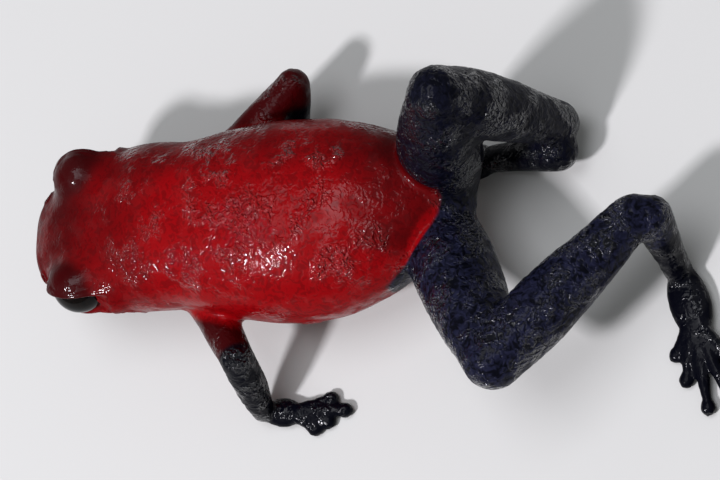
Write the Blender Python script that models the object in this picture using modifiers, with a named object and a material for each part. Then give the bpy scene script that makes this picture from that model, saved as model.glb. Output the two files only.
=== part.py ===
"""A strawberry poison dart frog as a still, life-size model.

The frog faces -Y with its left side at +X and stands on the floor at z = 0.
Its flesh is modelled whole, from a lofted trunk and head, tapered limbs and
digits, and is then parted with thin cuts at the neck and at the joints of the
limbs. Lengths are in millimetres until the last step, which turns them into
metres.
"""

import math

import bmesh
import bpy
from mathutils import Matrix, Vector
from mathutils.bvhtree import BVHTree

# Driving dimensions, in millimetres and degrees
METRES_PER_MM = 0.001
BODY_LENGTH = 21.0
AXIS_HEIGHT = 4.15
TRUNK_PITCH = math.radians(4.0)
HEAD_BEND = math.radians(12.0)
HEAD_TURN = math.radians(2.5)
NECK_STATION = 6.5
TAIL_STATION = 10.0
TAIL_BEND = 0.93
TAIL_POWER = 3
CUT_WIDTH = 0.3
MERGE_DISTANCE = 0.0001

# Fineness of the skin: size of its faces, share kept, and where more is kept
VOXEL = 0.15
SMOOTHING_STEPS = 4
KEPT_SHARE = 0.062
DETAIL_FACTOR = 0.5
HEAD_DETAIL = 0.25
HEAD_FLOOR = 1.2
FOOT_DETAIL = 0.3
FOOT_TOP = 1.0
CURVE_STEPS = 5
CURVE_SIDES = 6
BALL_SIDES = (20, 12)
RING_SIDES = (28, 10)
DISC_SIDES = 24
EYE_SIDES = (24, 14)
SHARP_ANGLE = math.radians(45.0)

# Sections of the head and trunk: station behind the snout, half width, top, bottom
SECTIONS = (
    (0.00, 1.00, 0.34, 0.42),
    (0.30, 1.72, 0.74, 0.82),
    (1.00, 2.38, 1.18, 1.20),
    (2.00, 2.92, 1.56, 1.55),
    (3.50, 3.32, 1.95, 1.90),
    (5.00, 3.66, 2.22, 2.25),
    (6.50, 3.73, 2.45, 2.60),
    (8.00, 3.68, 2.78, 3.00),
    (10.00, 4.07, 3.12, 3.38),
    (12.50, 4.40, 3.30, 3.44),
    (15.00, 4.24, 3.16, 3.12),
    (17.00, 3.62, 2.78, 2.55),
    (18.80, 2.68, 2.20, 1.85),
    (20.20, 1.60, 1.40, 1.25),
    (20.85, 0.80, 0.60, 0.60),
)
SECTION_POWER = 2.3
SECTION_SIDES = 48
SECTION_STEP = 0.25

# Head
CHEEK_REACH = 9.0
EYE_AXIS = (0.9, -0.16, 0.30)
EYE_STATION = 3.0
EYE_SIDE = 2.42
EYE_RISE = 0.95
EYE_RADIUS = 1.22
SOCKET_RADIUS = EYE_RADIUS + 0.17
BROW_FORMS = (
    ((0.10, 0.10, 0.0), (1.58, 1.72, 1.58)),
    ((0.08, 1.30, -0.12), (1.50, 2.15, 1.36)),
)
OPENING_OFFSET = 1.0
OPENING_SIZE = (1.44, 1.04, 0.95)
OPENING_TILT = 0.12
NOSTRIL_STATION = 0.75
NOSTRIL_SIDE = 1.2
NOSTRIL_RISE = 0.42
NOSTRIL_AIM = 3.0
NOSTRIL_SIZE = (0.15, 0.195, 0.15)
MOUTH_END_STATION = 5.0
MOUTH_STEPS = 10
MOUTH_SIDE_STATION = 0.6
MOUTH_CENTRE_STATION = 3.0
MOUTH_FRONT_TURNS = (30.0, 15.0, 0.0)
MOUTH_DROP_FRONT = 0.42
MOUTH_DROP_REAR = 0.95
MOUTH_GROOVE = 0.13
EAR_STATION = 5.15
EAR_DROP = 0.25
EAR_RADIUS = 0.5
EAR_GROOVE = 0.1

# Joints of the limbs, from the body outwards
LEFT, RIGHT = 1, -1
SIDE_NAMES = {LEFT: "left", RIGHT: "right"}
ARM_JOINTS = {
    LEFT: ((2.90, -2.28, 3.25), (5.93, -0.04, 4.30), (7.78, -0.34, 0.80)),
    RIGHT: ((-2.90, -1.60, 3.25), (-6.27, 1.66, 3.25), (-4.15, 0.70, 0.80)),
}
LEG_JOINTS = {
    LEFT: ((0.55, 8.75, 3.25), (6.57, 12.30, 6.00), (0.60, 17.72, 4.55), (2.15, 18.50, 0.70)),
    RIGHT: ((-1.85, 8.75, 3.25), (-3.87, 10.78, 9.15), (-4.20, 13.42, 1.80), (-3.05, 10.15, 0.65)),
}
HEEL_STEP = {LEFT: (0.0, 0.70, -0.25), RIGHT: (1.15, -0.07, -0.30)}
HAND_HEADING = {LEFT: math.radians(88.0), RIGHT: math.radians(-74.0)}
FOOT_HEADING = {LEFT: math.radians(18.0), RIGHT: math.radians(-88.0)}

# Thin discs that part the limbs: their places along a bone, leans and radii
SHOULDER_SHARE = {LEFT: 0.47, RIGHT: 0.58}
SHOULDER_LEAN = 0.1
SHOULDER_CUT = 1.7
ELBOW_CUT = {LEFT: 1.75, RIGHT: 2.9}
WRIST_CUT = 1.15
HIP_REACH = 2.3
HIP_LEAN = 0.25
HIP_CUT = 2.6
KNEE_CUT = {LEFT: 2.3, RIGHT: 4.2}
HEEL_CUT = 2.1
INSTEP_CUT = 1.15
NECK_CUT = 4.3
NECK_CUT_STATION = NECK_STATION + 0.3
BEND_SHARE = 0.25

# Radii along each bone, at even steps from its near end to its far end
UPPER_ARM_RADII = (1.02, 0.88, 0.84, 0.76)
FOREARM_RADII = (0.76, 0.76, 0.68, 0.51)
THIGH_RADII = (1.66, 1.84, 1.76, 1.54, 1.24)
SHANK_RADII = (1.24, 1.42, 1.36, 1.16, 0.96)
TARSUS_RADII = (0.92, 0.78, 0.66, 0.62)

# Hands and feet: turn of each digit from the heading, and its length
FINGERS = ((-30.0, 1.20), (-11.0, 1.65), (4.0, 2.40), (20.0, 1.80))
TOES = ((-44.0, 1.60), (-25.0, 2.50), (-9.0, 3.70), (6.0, 4.90), (23.0, 3.40))
DIGIT_RADIUS = 0.27
FINGER_PAD = 0.42
TOE_PAD = 0.42
PAD_HEIGHT = 0.25
PALM_SIZE = (1.00, 0.70, 0.44)
SOLE_SIZE = (1.70, 0.95, 0.46)
PALM_REACH = 0.80
SOLE_REACH = 1.45
PALM_RISE = 0.9
ROOT_AHEAD = 0.35
ROOT_ASIDE = 0.2
ROOT_HEIGHT = 0.5
KNUCKLE_HEIGHT = 0.46
DIGIT_TAPER = (1.15, 1.0, 0.92)
PAD_LENGTH = 0.9
PAD_THICKNESS = 0.31

# Block below the floor, and how far along their bones the sub-parts are named
FLOOR_SIZE = (60.0, 80.0, 4.0)
HEAD_MARK = 3.0
TORSO_MARK = 13.0
UPPER_ARM_MARK = 0.7
THIGH_MARK = 0.6
HALF_WAY = 0.5
HAND_MARK = 1.6
FOOT_MARK = 2.4

# Colour and roughness of the skin and eyes
RED = ((0.62, 0.012, 0.012, 1.0), 0.3)
BLUE = ((0.018, 0.026, 0.075, 1.0), 0.35)
BLACK = ((0.004, 0.004, 0.005, 1.0), 0.08)


def clear_scene():
    """Remove the objects that a new file starts with."""
    for item in list(bpy.data.objects):
        bpy.data.objects.remove(item, do_unlink=True)


def new_collection(name):
    """Return a new collection linked to the scene."""
    collection = bpy.data.collections.new(name)
    bpy.context.scene.collection.children.link(collection)
    return collection


def sideways(station):
    """Return how far the axis lies to the left of the middle plane at a station."""
    ahead = max(NECK_STATION - station, 0.0)
    behind = max(station - TAIL_STATION, 0.0) / (BODY_LENGTH - TAIL_STATION)
    return ahead * math.tan(HEAD_TURN) - TAIL_BEND * behind**TAIL_POWER


def body_point(side, station, rise):
    """Place a point given beside, along and above the body's bent axis."""
    along = station - BODY_LENGTH / 2
    height = rise
    if station < NECK_STATION:
        ahead = station - NECK_STATION
        along = NECK_STATION - BODY_LENGTH / 2
        along += ahead * math.cos(HEAD_BEND) - rise * math.sin(HEAD_BEND)
        height = ahead * math.sin(HEAD_BEND) + rise * math.cos(HEAD_BEND)
    turned = along * math.cos(TRUNK_PITCH) + height * math.sin(TRUNK_PITCH)
    lifted = height * math.cos(TRUNK_PITCH) - along * math.sin(TRUNK_PITCH)
    return Vector((side + sideways(station), turned, lifted + AXIS_HEIGHT))


def section_at(station):
    """Return half width, top and bottom at a station, smoothly between the sections."""
    last = len(SECTIONS) - 2
    index = max(i for i in range(last + 1) if SECTIONS[i][0] <= station or i == 0)
    near, far = SECTIONS[index], SECTIONS[index + 1]
    before, after = SECTIONS[max(index - 1, 0)], SECTIONS[min(index + 2, last + 1)]
    span = far[0] - near[0]
    t = (station - near[0]) / span
    values = []
    for k in range(1, 4):
        slope_near = (far[k] - before[k]) / (far[0] - before[0]) * span
        slope_far = (after[k] - near[k]) / (after[0] - near[0]) * span
        values.append(
            (2 * t**3 - 3 * t**2 + 1) * near[k]
            + (t**3 - 2 * t**2 + t) * slope_near
            + (3 * t**2 - 2 * t**3) * far[k]
            + (t**3 - t**2) * slope_far
        )
    return values


def section_point(station, angle):
    """Return a point of the trunk's or head's section at an angle from its left side."""
    width, top, bottom = section_at(station)
    power = 2 / SECTION_POWER
    across, up = math.cos(angle), math.sin(angle)
    side = math.copysign(abs(across) ** power, across) * width
    rise = math.copysign(abs(up) ** power, up) * (top if up > 0 else bottom)
    return body_point(side, station, rise)


def mesh_object(name, bm, collection):
    """Turn a bmesh into an object in the collection."""
    bmesh.ops.recalc_face_normals(bm, faces=bm.faces)
    mesh = bpy.data.meshes.new(name)
    bm.to_mesh(mesh)
    bm.free()
    item = bpy.data.objects.new(name, mesh)
    collection.objects.link(item)
    return item


def trunk(collection):
    """Loft the head and trunk through their sections."""
    bm = bmesh.new()
    steps = math.ceil(SECTIONS[-1][0] / SECTION_STEP)
    rings = []
    for i in range(steps + 1):
        station = SECTIONS[-1][0] * i / steps
        angles = [2 * math.pi * k / SECTION_SIDES for k in range(SECTION_SIDES)]
        rings.append([bm.verts.new(section_point(station, angle)) for angle in angles])
    for ring, following in zip(rings, rings[1:]):
        for k in range(SECTION_SIDES):
            after = (k + 1) % SECTION_SIDES
            bm.faces.new((ring[k], ring[after], following[after], following[k]))
    bm.faces.new(rings[0])
    bm.faces.new(rings[-1])
    return mesh_object("trunk", bm, collection)


def tapered(name, points, radii, collection):
    """Sweep a round section of changing radius along points, with round ends."""
    curve = bpy.data.curves.new(name, "CURVE")
    curve.dimensions = "3D"
    curve.bevel_depth = 1.0
    curve.bevel_resolution = CURVE_SIDES
    curve.use_fill_caps = True
    curve.resolution_u = CURVE_STEPS
    spline = curve.splines.new("BEZIER")
    spline.bezier_points.add(len(points) - 1)
    for knot, place, radius in zip(spline.bezier_points, points, radii):
        knot.co = place
        knot.radius = radius
        knot.handle_left_type = "AUTO"
        knot.handle_right_type = "AUTO"
    item = bpy.data.objects.new(name, curve)
    collection.objects.link(item)
    swept = as_mesh(item, collection)
    for place, radius in ((points[0], radii[0]), (points[-1], radii[-1])):
        ball(name + "_end", place, (radius, radius, radius), 0.0, collection)
    return swept


def as_mesh(item, collection):
    """Replace an object by the mesh that its curve or modifiers give."""
    graph = bpy.context.evaluated_depsgraph_get()
    mesh = bpy.data.meshes.new_from_object(item.evaluated_get(graph))
    bm = bmesh.new()
    bm.from_mesh(mesh)
    bmesh.ops.remove_doubles(bm, verts=bm.verts, dist=MERGE_DISTANCE)
    bm.to_mesh(mesh)
    bm.free()
    replacement = bpy.data.objects.new(item.name, mesh)
    replacement.matrix_world = item.matrix_world
    collection.objects.link(replacement)
    bpy.data.objects.remove(item, do_unlink=True)
    return replacement


def ball(name, centre, sizes, turn, collection):
    """Add an ellipsoid of the given half sizes, turned about Z."""
    bm = bmesh.new()
    bmesh.ops.create_uvsphere(
        bm, u_segments=BALL_SIDES[0], v_segments=BALL_SIDES[1], radius=1.0)
    bmesh.ops.scale(bm, vec=sizes, verts=bm.verts)
    bmesh.ops.rotate(bm, cent=(0, 0, 0), matrix=Matrix.Rotation(turn, 3, "Z"), verts=bm.verts)
    bmesh.ops.translate(bm, vec=centre, verts=bm.verts)
    return mesh_object(name, bm, collection)


def ring(name, centre, axis, radius, thickness, collection):
    """Add a torus about an axis."""
    bpy.ops.mesh.primitive_torus_add(
        major_radius=radius, minor_radius=thickness,
        major_segments=RING_SIDES[0], minor_segments=RING_SIDES[1])
    item = bpy.context.object
    item.name = name
    turn = Vector((0, 0, 1)).rotation_difference(axis).to_matrix().to_4x4()
    item.data.transform(Matrix.Translation(centre) @ turn)
    for owner in list(item.users_collection):
        owner.objects.unlink(item)
    collection.objects.link(item)
    return item


def along_bone(near, far, count):
    """Return evenly spaced points from one joint to the next."""
    return [Vector(near).lerp(Vector(far), i / (count - 1)) for i in range(count)]


def heading_vector(angle):
    """Return the level direction at an angle from +X."""
    return Vector((math.cos(angle), math.sin(angle), 0.0))


def extremity(name, joint, heading, side, digits, pad, size, reach, collection):
    """Add a palm or sole with its digits, flat on the floor."""
    forward = heading_vector(heading)
    middle = Vector((joint[0], joint[1], size[2] * PALM_RISE)) + forward * reach
    ball(name, middle, size, heading, collection)
    start = middle + forward * size[0] * ROOT_AHEAD
    for number, (turn, length) in enumerate(digits, start=1):
        outward = heading + side * math.radians(turn)
        away = heading_vector(outward)
        root = start + away * size[1] * ROOT_ASIDE
        root.z = ROOT_HEIGHT
        knuckle = root + away * length * HALF_WAY
        knuckle.z = KNUCKLE_HEIGHT
        tip = root + away * length
        tip.z = PAD_HEIGHT
        radii = [DIGIT_RADIUS * share for share in DIGIT_TAPER]
        tapered(f"{name}_digit_{number}", (root, knuckle, tip), radii, collection)
        size_of_pad = (pad, pad * PAD_LENGTH, PAD_THICKNESS)
        ball(f"{name}_pad_{number}", tip, size_of_pad, outward, collection)


def eye_centre(side):
    """Return the centre of an eye."""
    return body_point(side * EYE_SIDE, EYE_STATION, EYE_RISE)


def eye_axis(side):
    """Return the direction in which an eye looks."""
    across, along, up = EYE_AXIS
    return Vector((side * across, along, up)).normalized()


def brow(side, collection):
    """Add the swellings round and behind an eye, out of which its lids are cut."""
    for (inward, back, up), size in BROW_FORMS:
        centre = eye_centre(side) + Vector((-side * inward, back, up))
        ball("brow", centre, size, 0.0, collection)


def eye_opening(side, collection):
    """Add the cutter that opens the lids in front of an eye."""
    axis = eye_axis(side)
    item = ball("opening", (0, 0, 0), OPENING_SIZE, 0.0, collection)
    turn = (axis - Vector((0, 0, OPENING_TILT))).to_track_quat("Z", "Y").to_matrix().to_4x4()
    item.data.transform(Matrix.Translation(eye_centre(side) + axis * OPENING_OFFSET) @ turn)


def arm(side, collection):
    """Add one arm with its hand."""
    shoulder, elbow, wrist = ARM_JOINTS[side]
    name = SIDE_NAMES[side]
    steps = len(UPPER_ARM_RADII)
    tapered(f"upper_arm_{name}", along_bone(shoulder, elbow, steps), UPPER_ARM_RADII, collection)
    steps = len(FOREARM_RADII)
    tapered(f"forearm_{name}", along_bone(elbow, wrist, steps), FOREARM_RADII, collection)
    extremity(f"hand_{name}", wrist, HAND_HEADING[side], side, FINGERS,
              FINGER_PAD, PALM_SIZE, PALM_REACH, collection)


def tarsus_root(side):
    """Return where the tarsus starts, beside the end of the shank."""
    return Vector(LEG_JOINTS[side][2]) + Vector(HEEL_STEP[side])


def leg(side, collection):
    """Add one hind leg with its foot."""
    hip, knee, heel, instep = LEG_JOINTS[side]
    name = SIDE_NAMES[side]
    for bone, near, far, radii in (
        ("thigh", hip, knee, THIGH_RADII),
        ("shank", knee, heel, SHANK_RADII),
        ("tarsus", tarsus_root(side), instep, TARSUS_RADII),
    ):
        tapered(f"{bone}_{name}", along_bone(near, far, len(radii)), radii, collection)
    extremity(f"foot_{name}", instep, FOOT_HEADING[side], side, TOES,
              TOE_PAD, SOLE_SIZE, SOLE_REACH, collection)


def fused(collection):
    """Fuse all pieces of the collection into one closed skin and thin its faces."""
    bm = bmesh.new()
    for item in list(collection.objects):
        bm.from_mesh(item.data)
        bpy.data.objects.remove(item, do_unlink=True)
    skin = mesh_object("skin", bm, collection)
    remesh = skin.modifiers.new("fuse", "REMESH")
    remesh.mode = "VOXEL"
    remesh.voxel_size = VOXEL
    smooth = skin.modifiers.new("smooth", "SMOOTH")
    smooth.factor = 0.5
    smooth.iterations = SMOOTHING_STEPS
    skin = as_mesh(skin, collection)
    detail = skin.vertex_groups.new(name="detail")
    for vertex in skin.data.vertices:
        detail.add([vertex.index], detail_weight(vertex.co), "REPLACE")
    decimate = skin.modifiers.new("thin", "DECIMATE")
    decimate.ratio = KEPT_SHARE
    decimate.use_collapse_triangulate = True
    decimate.vertex_group = detail.name
    decimate.vertex_group_factor = DETAIL_FACTOR
    decimate.invert_vertex_group = True
    return as_mesh(skin, collection)


def detail_weight(place):
    """Return how finely a spot is kept: most on the head, then the hands and feet."""
    if place.y < body_point(0, NECK_STATION, 0).y and place.z > HEAD_FLOOR:
        return HEAD_DETAIL
    if place.z < FOOT_TOP:
        return FOOT_DETAIL
    return 0.0


def surface_at(tree, station, side, drop):
    """Find where a level line from the head's axis leaves the head's side."""
    origin = body_point(0, station, -drop)
    target = body_point(side * CHEEK_REACH, station, -drop)
    place, normal, _, _ = tree.ray_cast(origin, (target - origin).normalized())
    return place, normal


def mouth_groove(tree, collection):
    """Add the cutter of the line between the lips, from one corner to the other."""
    halves = {}
    for side in (LEFT, RIGHT):
        halves[side] = []
        for i in range(MOUTH_STEPS + 1):
            share = 1 - i / MOUTH_STEPS
            drop = MOUTH_DROP_FRONT + (MOUTH_DROP_REAR - MOUTH_DROP_FRONT) * share
            if share * MOUTH_END_STATION > MOUTH_SIDE_STATION:
                place = surface_at(tree, share * MOUTH_END_STATION, side, drop)[0]
                halves[side].append(place)
        centre = body_point(0, MOUTH_CENTRE_STATION, -MOUTH_DROP_FRONT)
        ahead = body_point(0, -MOUTH_CENTRE_STATION, -MOUTH_DROP_FRONT) - centre
        for turn in MOUTH_FRONT_TURNS:
            direction = Matrix.Rotation(side * math.radians(turn), 3, "Z") @ ahead
            halves[side].append(tree.ray_cast(centre, direction.normalized())[0])
    points = halves[LEFT] + halves[RIGHT][-2::-1]
    radii = [MOUTH_GROOVE] * len(points)
    return tapered("mouth_line", points, radii, collection)


def head_cutters(tree, collection):
    """Add the cutters of the eye sockets, nostrils, ears and mouth."""
    for side in (LEFT, RIGHT):
        size = (SOCKET_RADIUS,) * 3
        ball("socket", eye_centre(side), size, 0.0, collection)
        eye_opening(side, collection)
        aim = body_point(
            side * NOSTRIL_SIDE * NOSTRIL_AIM, NOSTRIL_STATION, NOSTRIL_RISE * NOSTRIL_AIM)
        origin = body_point(0, NOSTRIL_STATION, 0)
        place = tree.ray_cast(origin, (aim - origin).normalized())[0]
        ball("nostril", place, NOSTRIL_SIZE, 0.0, collection)
        place, normal = surface_at(tree, EAR_STATION, side, EAR_DROP)
        ring("ear", place, normal, EAR_RADIUS, EAR_GROOVE, collection)
    mouth_groove(tree, collection)


def slab(name, centre, normal, radius, collection):
    """Add a thin disc that parts two sub-parts."""
    bm = bmesh.new()
    turn = Vector((0, 0, 1)).rotation_difference(Vector(normal)).to_matrix().to_4x4()
    bmesh.ops.create_cone(
        bm, cap_ends=True, segments=DISC_SIDES, radius1=radius, radius2=radius, depth=CUT_WIDTH,
        matrix=Matrix.Translation(centre) @ turn)
    return mesh_object(name, bm, collection)


def joint_slab(name, near, joint, far, radius, collection):
    """Add the disc that halves the bend between two bones."""
    inward = (Vector(joint) - Vector(near)).normalized()
    outward = (Vector(far) - Vector(joint)).normalized()
    inner = (outward - inward) * radius * BEND_SHARE
    return slab(name, Vector(joint) + inner, inward + outward, radius, collection)


def joint_cutters(collection):
    """Add the thin cutters at the neck and at each joint of the limbs."""
    neck = body_point(0, NECK_CUT_STATION, 0)
    slab("neck", neck, body_point(0, NECK_CUT_STATION + 1, 0) - neck, NECK_CUT, collection)
    for side in (LEFT, RIGHT):
        shoulder, elbow, wrist = ARM_JOINTS[side]
        name = SIDE_NAMES[side]
        start = Vector(shoulder).lerp(Vector(elbow), SHOULDER_SHARE[side])
        slab(f"shoulder_{name}", start, (side, 0.0, SHOULDER_LEAN), SHOULDER_CUT, collection)
        joint_slab(f"elbow_{name}", shoulder, elbow, wrist, ELBOW_CUT[side], collection)
        finger = Vector(wrist) + heading_vector(HAND_HEADING[side])
        joint_slab(f"wrist_{name}", elbow, wrist, finger, WRIST_CUT, collection)
        hip, knee, heel, instep = LEG_JOINTS[side]
        thigh = (Vector(knee) - Vector(hip)).normalized()
        start = Vector(hip) + thigh * HIP_REACH
        slab(f"hip_{name}", start, thigh + Vector((side * HIP_LEAN, 0, 0)), HIP_CUT, collection)
        joint_slab(f"knee_{name}", hip, knee, heel, KNEE_CUT[side], collection)
        between = tarsus_root(side).lerp(Vector(heel), HALF_WAY)
        joint_slab(f"heel_{name}", knee, between, instep, HEEL_CUT, collection)
        toe = Vector(instep) + heading_vector(FOOT_HEADING[side])
        joint_slab(f"instep_{name}", heel, instep, toe, INSTEP_CUT, collection)


def floor_cutter(collection):
    """Add the block below the floor, which gives the hands and feet their flats."""
    bm = bmesh.new()
    bmesh.ops.create_cube(bm, size=1.0)
    bmesh.ops.scale(bm, vec=FLOOR_SIZE, verts=bm.verts)
    bmesh.ops.translate(bm, vec=(0, 0, -FLOOR_SIZE[2] / 2), verts=bm.verts)
    return mesh_object("floor", bm, collection)


def carve(skin, collection, cutters):
    """Cut every cutter out of the skin."""
    for cutter in list(cutters.objects):
        cutter.hide_render = True
        cutter.display_type = "WIRE"
    cut = skin.modifiers.new("cut", "BOOLEAN")
    cut.operation = "DIFFERENCE"
    cut.solver = "EXACT"
    cut.operand_type = "COLLECTION"
    cut.collection = cutters
    carved = as_mesh(skin, collection)
    for cutter in list(cutters.objects):
        bpy.data.objects.remove(cutter, do_unlink=True)
    return carved


def loose_pieces(item):
    """Return the closed surfaces of a mesh as lists of face indices."""
    mesh = item.data
    bm = bmesh.new()
    bm.from_mesh(mesh)
    seen = set()
    pieces = []
    for face in bm.faces:
        if face.index in seen:
            continue
        seen.add(face.index)
        piece, stack = [], [face]
        while stack:
            current = stack.pop()
            piece.append(current.index)
            for edge in current.edges:
                for other in edge.link_faces:
                    if other.index not in seen:
                        seen.add(other.index)
                        stack.append(other)
        pieces.append(piece)
    bm.free()
    return pieces


def marks():
    """Return a point inside each sub-part, by which the cut pieces get their names."""
    places = {"head": body_point(0, HEAD_MARK, 0), "torso": body_point(0, TORSO_MARK, 0)}
    for side in (LEFT, RIGHT):
        name = SIDE_NAMES[side]
        shoulder, elbow, wrist = [Vector(p) for p in ARM_JOINTS[side]]
        hip, knee, heel, instep = [Vector(p) for p in LEG_JOINTS[side]]
        places[f"upper_arm_{name}"] = shoulder.lerp(elbow, UPPER_ARM_MARK)
        places[f"forearm_{name}"] = elbow.lerp(wrist, HALF_WAY)
        places[f"hand_{name}"] = wrist + heading_vector(HAND_HEADING[side]) * HAND_MARK
        places[f"thigh_{name}"] = hip.lerp(knee, THIGH_MARK)
        places[f"shank_{name}"] = knee.lerp(heel, HALF_WAY)
        places[f"tarsus_{name}"] = tarsus_root(side).lerp(instep, HALF_WAY)
        places[f"foot_{name}"] = instep + heading_vector(FOOT_HEADING[side]) * FOOT_MARK
    return places


def part_names(item):
    """Split the carved skin and return the mesh of each named sub-part."""
    places = marks()
    named = {}
    for piece in loose_pieces(item):
        bm = bmesh.new()
        bm.from_mesh(item.data)
        bm.faces.ensure_lookup_table()
        kept = set(piece)
        rest = [face for face in bm.faces if face.index not in kept]
        bmesh.ops.delete(bm, geom=rest, context="FACES")
        bmesh.ops.triangulate(bm, faces=bm.faces)
        volume = bm.calc_volume()
        centre = sum((v.co for v in bm.verts), Vector()) / len(bm.verts)
        name = min(places, key=lambda mark: (places[mark] - centre).length)
        if name not in named or volume > named[name][0]:
            if name in named:
                named[name][1].free()
            named[name] = (volume, bm)
        else:
            bm.free()
    return {name: bm for name, (_, bm) in named.items()}


def skin_material(name, finish):
    """Return a plain material of a sub-part, from its colour and roughness."""
    material = bpy.data.materials.new(name)
    material.use_nodes = True
    shader = material.node_tree.nodes["Principled BSDF"]
    shader.inputs["Base Color"].default_value = finish[0]
    shader.inputs["Roughness"].default_value = finish[1]
    shader.inputs["Metallic"].default_value = 0.0
    return material


def place_parts(named, frog):
    """Make each sub-part an object at its own mark, in metres, under one root."""
    root = bpy.data.objects.new("frog_root", None)
    frog.objects.link(root)
    corners = [v.co for bm in named.values() for v in bm.verts]
    low = Vector([min(c[i] for c in corners) for i in range(3)])
    high = Vector([max(c[i] for c in corners) for i in range(3)])
    shift = Vector((-(low.x + high.x) / 2, -(low.y + high.y) / 2, -low.z))
    places = marks()
    places.update({f"eye_{SIDE_NAMES[side]}": eye_centre(side) for side in (LEFT, RIGHT)})
    for name, bm in named.items():
        origin = places[name]
        bmesh.ops.translate(bm, vec=-origin, verts=bm.verts)
        bmesh.ops.scale(bm, vec=(METRES_PER_MM,) * 3, verts=bm.verts)
        item = mesh_object(name, bm, frog)
        item.location = (origin + shift) * METRES_PER_MM
        item.parent = root
        item.data.shade_smooth()
        item.data.set_sharp_from_angle(angle=SHARP_ANGLE)
        finish = BLUE
        if name.startswith("eye"):
            finish = BLACK
        elif name in ("head", "torso") or name.startswith("upper_arm"):
            finish = RED
        item.data.materials.append(skin_material(name, finish))


def eyeball(side):
    """Return one eye as a bmesh, with its pole along its line of sight."""
    bm = bmesh.new()
    turn = Vector((0, 0, 1)).rotation_difference(eye_axis(side)).to_matrix().to_4x4()
    bmesh.ops.create_uvsphere(
        bm, u_segments=EYE_SIDES[0], v_segments=EYE_SIDES[1], radius=EYE_RADIUS,
        matrix=Matrix.Translation(eye_centre(side)) @ turn)
    return bm


def main():
    """Build the frog."""
    clear_scene()
    frog = new_collection("strawberry_poison_dart_frog")
    flesh = new_collection("flesh")
    cutters = new_collection("cutters")
    trunk(flesh)
    for side in (LEFT, RIGHT):
        brow(side, flesh)
        arm(side, flesh)
        leg(side, flesh)
    skin = fused(flesh)
    bm = bmesh.new()
    bm.from_mesh(skin.data)
    tree = BVHTree.FromBMesh(bm)
    bm.free()
    head_cutters(tree, cutters)
    joint_cutters(cutters)
    floor_cutter(cutters)
    skin = carve(skin, flesh, cutters)
    named = part_names(skin)
    bpy.data.objects.remove(skin, do_unlink=True)
    for side in (LEFT, RIGHT):
        named[f"eye_{SIDE_NAMES[side]}"] = eyeball(side)
    place_parts(named, frog)
    for collection in (flesh, cutters):
        bpy.data.collections.remove(collection)


main()
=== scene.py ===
"""The looks of a life-size strawberry poison dart frog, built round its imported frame.

One skin covers head, trunk and limbs. It is fused from closed forms, smoothed, and
then carved vertex by vertex: lids, mouth, nostrils, ears, folds and granules. The
eyes are pieces of their own. Lengths are in millimetres until a mesh is finished.
"""

import logging
import math
from dataclasses import dataclass, field
from enum import Enum
from typing import Iterable, Sequence

import bmesh
import bpy
import numpy as np
from mathutils import Matrix, Vector, noise
from mathutils.bvhtree import BVHTree


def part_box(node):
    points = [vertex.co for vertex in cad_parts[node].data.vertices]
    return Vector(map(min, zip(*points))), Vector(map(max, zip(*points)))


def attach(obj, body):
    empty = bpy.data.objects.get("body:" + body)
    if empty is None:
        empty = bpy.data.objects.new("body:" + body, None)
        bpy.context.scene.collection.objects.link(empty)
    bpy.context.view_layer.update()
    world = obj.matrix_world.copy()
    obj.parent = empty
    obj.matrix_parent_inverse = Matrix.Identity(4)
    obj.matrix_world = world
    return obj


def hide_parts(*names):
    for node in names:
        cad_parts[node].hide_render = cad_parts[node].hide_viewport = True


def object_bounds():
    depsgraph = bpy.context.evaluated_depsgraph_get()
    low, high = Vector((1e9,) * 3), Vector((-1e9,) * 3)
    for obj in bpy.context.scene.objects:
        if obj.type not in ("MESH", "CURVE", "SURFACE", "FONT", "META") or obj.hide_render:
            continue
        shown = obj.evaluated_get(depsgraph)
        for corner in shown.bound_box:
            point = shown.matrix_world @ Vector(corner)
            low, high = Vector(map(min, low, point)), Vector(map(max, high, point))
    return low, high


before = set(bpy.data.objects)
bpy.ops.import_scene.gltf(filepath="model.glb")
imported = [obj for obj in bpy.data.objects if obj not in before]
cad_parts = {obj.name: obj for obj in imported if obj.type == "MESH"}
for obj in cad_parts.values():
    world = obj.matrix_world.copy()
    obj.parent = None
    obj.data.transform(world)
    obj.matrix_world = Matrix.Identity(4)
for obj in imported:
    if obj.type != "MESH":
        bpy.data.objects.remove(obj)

MM = 0.001
CAD_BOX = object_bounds()
UPRIGHT = 0.05
SPLIT_DEPTH = 0.0001
RINGS_EACH = 4
FAR_ASIDE = 9.0
log = logging.getLogger("frog")

Point = tuple[float, float, float]
Colour = tuple[float, float, float, float]
Socket = bpy.types.NodeSocket


class Side(Enum):
    """The frog's two sides, with the sign of their X."""

    LEFT = 1
    RIGHT = -1

    def pick(self, values: tuple[float, float]) -> float:
        """Return the left or the right one of two values."""
        return values[self is Side.RIGHT]

    @property
    def word(self) -> str:
        """Return the side's name as nodes spell it."""
        return self.name.lower()


class Zone(Enum):
    """The named masks that the skin's mesh carries for its finish."""

    BLUE = "blue"
    # Where painted shade darkens the mouth line, nostrils, ear rims and small pits.
    CREASE = "crease"
    GRAIN = "grain"
    # The skin's brightness, partly painted shade; on an eye, where its iris is.
    TONE = "tone"


def smoothstep(values: np.ndarray, low: float, high: float) -> np.ndarray:
    """Blend from 0 at low to 1 at high.

    Args:
        values: The numbers to blend.
        low: Where the blend starts.
        high: Where it ends.

    Returns:
        The share at each number.
    """
    share = np.clip((values - low) / (high - low), 0.0, 1.0)
    return share * share * (3.0 - 2.0 * share)


def bell(values: np.ndarray, width: float) -> np.ndarray:
    """Return a smooth hump of the given half width, 1 at zero."""
    return np.exp(-((values / width) ** 2))


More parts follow.
